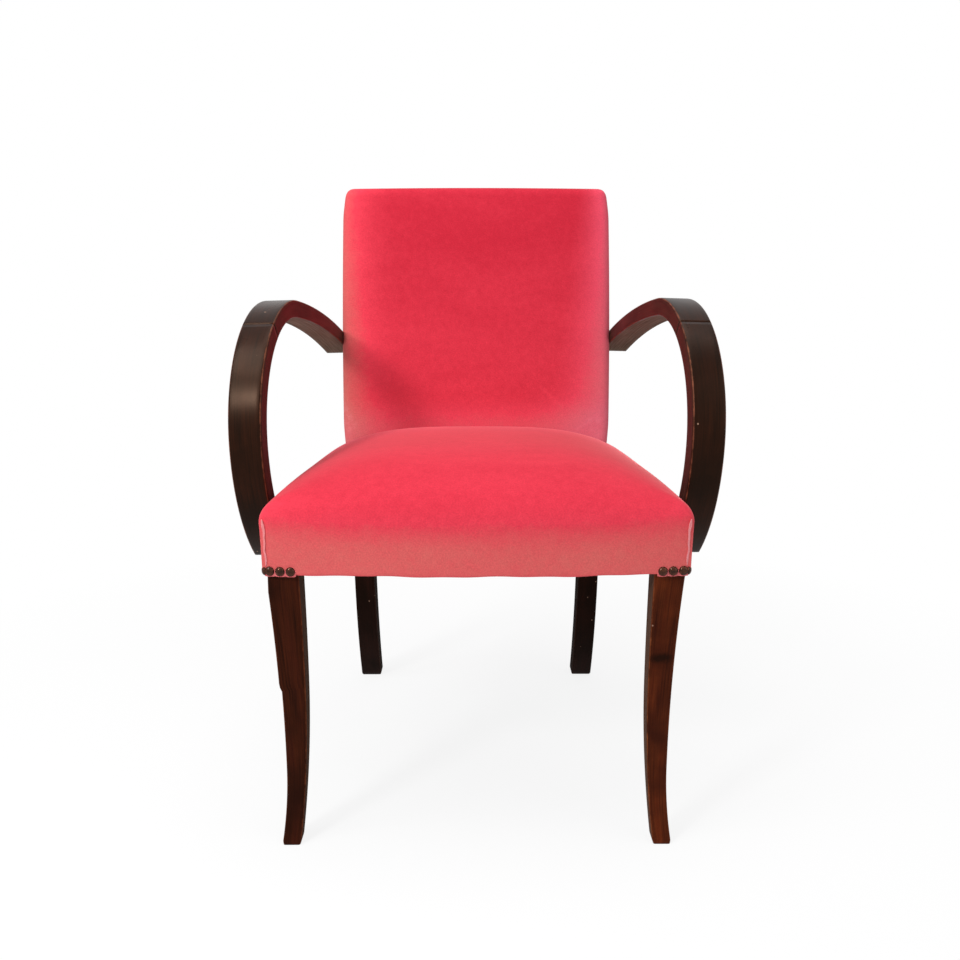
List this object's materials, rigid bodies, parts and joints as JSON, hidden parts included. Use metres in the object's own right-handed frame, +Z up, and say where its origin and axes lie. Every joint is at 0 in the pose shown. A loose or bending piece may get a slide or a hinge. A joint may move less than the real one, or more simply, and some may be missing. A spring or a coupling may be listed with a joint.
{
  "type": "upholstered armchair",
  "caption": "Low armchair with coral velvet seat and leaning back, dark wooden loop arms and sabre legs.",
  "frame": {"origin": "on the floor, at the middle of the chair's overall width and depth", "axes": "+Z up, front of the chair towards -Y, +X to the right as seen from the front"},
  "size_m": [0.5784, 0.59, 0.8095],
  "materials": {
    "arm_wood": "dark stained and varnished, satin",
    "leg_wood": "dark reddish stain, satin varnish, worn",
    "frame_wood": "planed beech, unfinished",
    "velvet": "cotton velvet, short pile",
    "hair_stuffing": "loose fibre",
    "cotton_wadding": "soft felt",
    "hessian": "plain open weave",
    "jute_strap": "woven strap",
    "dust_cloth": "thin plain weave",
    "spring_steel": "drawn wire",
    "screw_steel": "plain turned",
    "nail_bronze": "antique bronze, domed"
  },
  "bodies": {
    "root": {"arm_joint_dowels": "frame_wood", "arm_post_screws": "screw_steel", "arm_rail_screws": "screw_steel", "arm_support_left": "arm_wood", "arm_support_right": "arm_wood", "armrest_left": "arm_wood", "armrest_right": "arm_wood", "back_canvas": "hessian", "back_cover": "velvet", "back_low_rail": "frame_wood", "back_rail_dowels": "frame_wood", "back_straps_crosswise": "jute_strap", "back_straps_upright": "jute_strap", "back_stuffing": "hair_stuffing", "back_top_rail": "frame_wood", "corner_block_screws": "screw_steel", "decorative_nails_left": "nail_bronze", "decorative_nails_right": "nail_bronze", "dust_cloth": "dust_cloth", "front_corner_block_left": "frame_wood", "front_corner_block_right": "frame_wood", "front_leg_left": "leg_wood", "front_leg_right": "leg_wood", "front_rail": "frame_wood", "outside_back_cover": "velvet", "rear_corner_block_left": "frame_wood", "rear_corner_block_right": "frame_wood", "rear_post_left": "leg_wood", "rear_post_right": "leg_wood", "rear_rail": "frame_wood", "seat_cover": "velvet", "seat_rail_dowels": "frame_wood", "seat_springs": "spring_steel", "seat_straps_crosswise": "jute_strap", "seat_straps_lengthwise": "jute_strap", "seat_stuffing": "hair_stuffing", "seat_wadding": "cotton_wadding", "side_rail_left": "frame_wood", "side_rail_right": "frame_wood", "spring_canvas": "hessian"}
  },
  "joints": []
}
